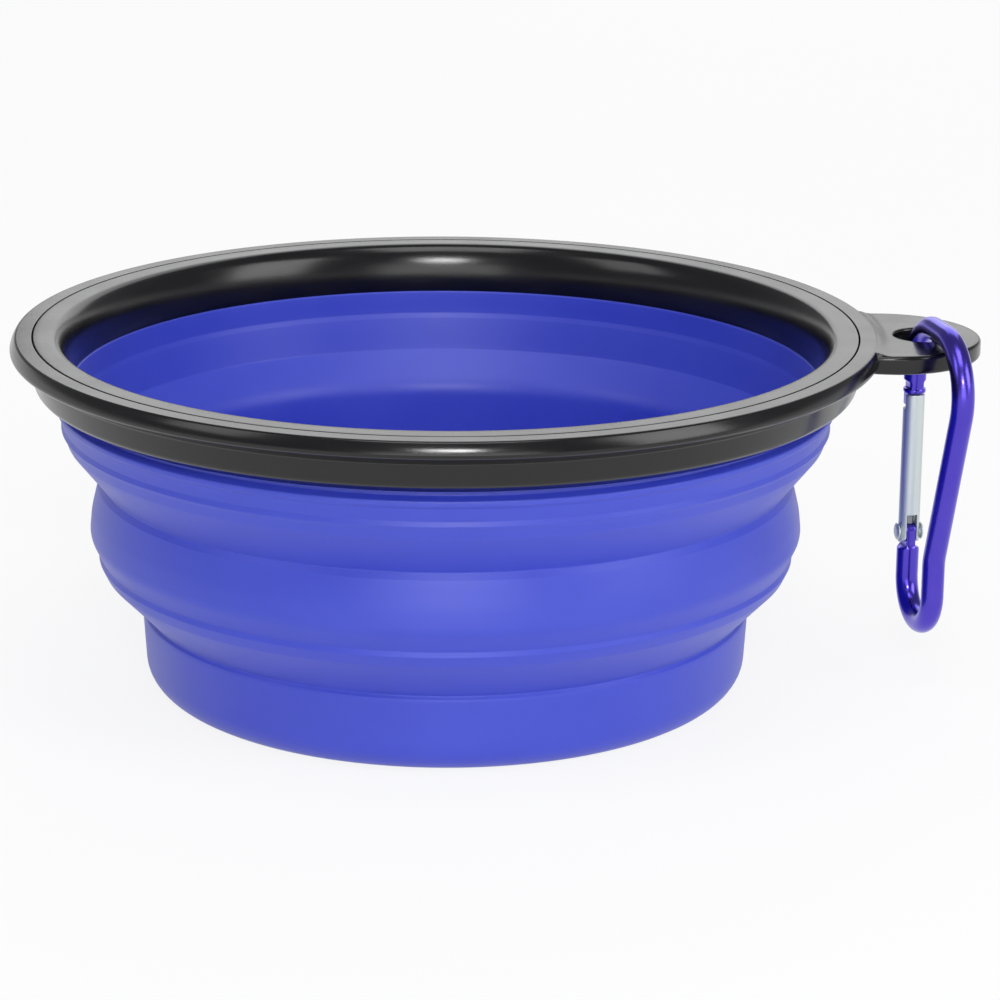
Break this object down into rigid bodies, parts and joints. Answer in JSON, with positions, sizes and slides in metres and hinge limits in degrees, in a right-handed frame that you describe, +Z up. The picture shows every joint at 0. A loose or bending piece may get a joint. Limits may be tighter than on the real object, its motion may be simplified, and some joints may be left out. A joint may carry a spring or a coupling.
{
  "type": "collapsible silicone bowl",
  "caption": "Round silicone bowl that folds flat, held in a plastic rim with a hang tab and a small spring-gate carabiner.",
  "frame": {"origin": "centre of the bowl's flat underside, on the surface that it stands on", "axes": "+Z up along the bowl's axis, +X towards the hang tab"},
  "size_m": [0.145, 0.13, 0.0577],
  "materials": {
    "silicone": "moulded, soft satin",
    "rim_plastic": "moulded, satin",
    "anodised_aluminium": "blue anodised, glossy",
    "bare_aluminium": "polished",
    "spring_steel": "drawn wire"
  },
  "bodies": {
    "rim": {"rim_band": "rim_plastic", "rim_cap": "rim_plastic", "bowl_collar": "silicone"},
    "upper_fold": {"upper_fold": "silicone"},
    "middle_band": {"middle_band": "silicone"},
    "lower_fold_outer": {"lower_fold_outer": "silicone"},
    "lower_fold_inner": {"lower_fold_inner": "silicone"},
    "base": {"base_cup": "silicone"},
    "clip": {"carabiner_body": "anodised_aluminium", "gate_rivet": "bare_aluminium"},
    "gate": {"carabiner_gate": "bare_aluminium", "gate_spring": "spring_steel"},
    "plunger": {"gate_plunger": "spring_steel"}
  },
  "joints": [
    {"name": "bowl_collapse", "type": "slide", "parent": "rim", "child": "base", "axis": [0, 0, 1], "range_m": [0, 0.036]},
    {"name": "upper_fold_lift", "type": "slide", "parent": "rim", "child": "upper_fold", "axis": [0, 0, 1], "range_m": [0, 0.01]},
    {"name": "middle_band_lift", "type": "slide", "parent": "rim", "child": "middle_band", "axis": [0, 0, 1], "range_m": [0, 0.02]},
    {"name": "lower_fold_outer_lift", "type": "slide", "parent": "rim", "child": "lower_fold_outer", "axis": [0, 0, 1], "range_m": [0, 0.02533]},
    {"name": "lower_fold_inner_lift", "type": "slide", "parent": "rim", "child": "lower_fold_inner", "axis": [0, 0, 1], "range_m": [0, 0.03067]},
    {"name": "clip_swing", "type": "hinge", "parent": "rim", "child": "clip", "pos_m": [0.0731, -0.00779, 0.0539], "axis": [0.225, -0.9744, 0], "range_deg": [-20, 20]},
    {"name": "gate_swing", "type": "hinge", "parent": "clip", "child": "gate", "pos_m": [0.07076, 0.00234, 0.02236], "axis": [0.9744, 0.225, 0], "range_deg": [0, 35], "stiffness_Nm_per_rad": 0.08, "springref_deg": -17.19},
    {"name": "plunger_slide", "type": "slide", "parent": "gate", "child": "plunger", "axis": [0, 0, 1], "range_m": [0, 0.0009], "deforming": ["gate_spring"]}
  ],
  "couplings": [
    {"joint": "upper_fold_lift", "follows": "bowl_collapse", "ratio": 0.27778},
    {"joint": "middle_band_lift", "follows": "bowl_collapse", "ratio": 0.55556},
    {"joint": "lower_fold_outer_lift", "follows": "bowl_collapse", "ratio": 0.7037},
    {"joint": "lower_fold_inner_lift", "follows": "bowl_collapse", "ratio": 0.85185},
    {"joint": "plunger_slide", "follows": "gate_swing", "m_per_rad": 0.00125}
  ]
}
